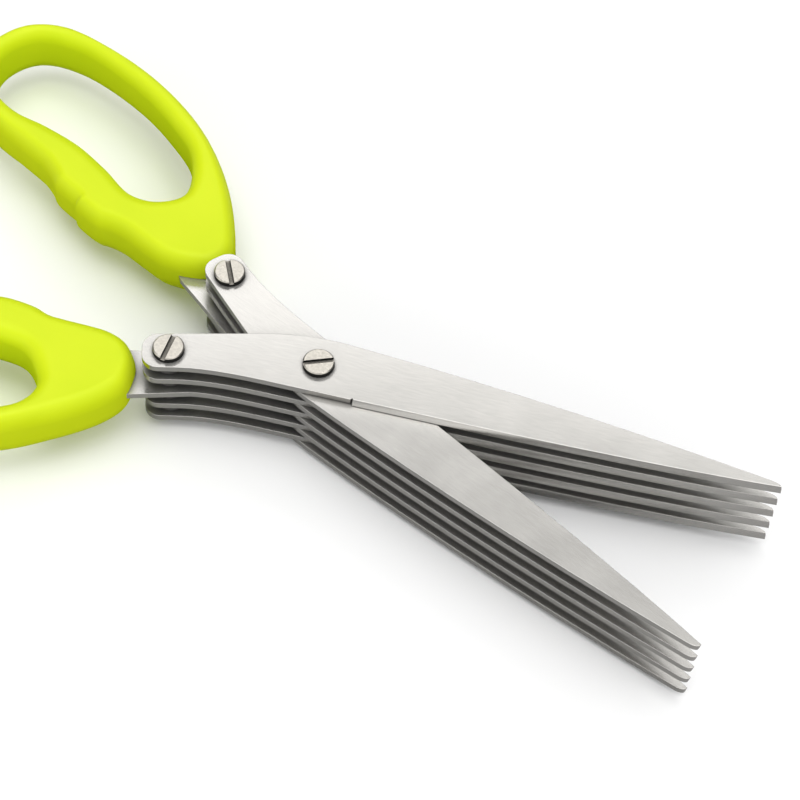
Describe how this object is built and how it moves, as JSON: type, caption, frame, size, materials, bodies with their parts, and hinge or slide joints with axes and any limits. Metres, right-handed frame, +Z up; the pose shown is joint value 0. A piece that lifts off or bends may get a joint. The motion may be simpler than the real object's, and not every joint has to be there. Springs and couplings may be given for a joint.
{
  "type": "herb scissors",
  "caption": "Herb scissors with interleaved stacks of long steel blades, a slotted pivot screw and moulded finger loops of unequal size.",
  "frame": {"origin": "on the pivot axis, at the flat underside of the pivot nut", "axes": "+Z up along the pivot axis towards the slotted screw head, +X midway between the open blades towards their tips, +Y towards the thumb half's blade tips"},
  "size_m": [0.1907, 0.0997, 0.0212],
  "materials": {
    "blade_steel": "fine lengthwise brushed",
    "screw_steel": "turned and polished",
    "lime_plastic": "satin moulded"
  },
  "bodies": {
    "thumb_half": {"thumb_blade_1": "blade_steel", "thumb_blade_2": "blade_steel", "thumb_blade_3": "blade_steel", "thumb_blade_4": "blade_steel", "thumb_blade_5": "blade_steel", "thumb_spacer_1": "blade_steel", "thumb_spacer_2": "blade_steel", "thumb_spacer_3": "blade_steel", "thumb_spacer_4": "blade_steel", "thumb_screw": "screw_steel", "thumb_nut": "screw_steel", "thumb_handle": "lime_plastic", "pivot_washer_1": "blade_steel", "pivot_washer_2": "blade_steel", "pivot_washer_3": "blade_steel", "pivot_washer_4": "blade_steel", "pivot_screw": "screw_steel", "pivot_nut": "screw_steel"},
    "finger_half": {"finger_blade_1": "blade_steel", "finger_blade_2": "blade_steel", "finger_blade_3": "blade_steel", "finger_blade_4": "blade_steel", "finger_blade_5": "blade_steel", "finger_spacer_1": "blade_steel", "finger_spacer_2": "blade_steel", "finger_spacer_3": "blade_steel", "finger_spacer_4": "blade_steel", "finger_screw": "screw_steel", "finger_nut": "screw_steel", "finger_handle": "lime_plastic"}
  },
  "joints": [
    {"name": "pivot", "type": "hinge", "parent": "thumb_half", "child": "finger_half", "pos_m": [0, 0, 0], "axis": [0, 0, 1], "range_deg": [-120, 23.5]}
  ]
}
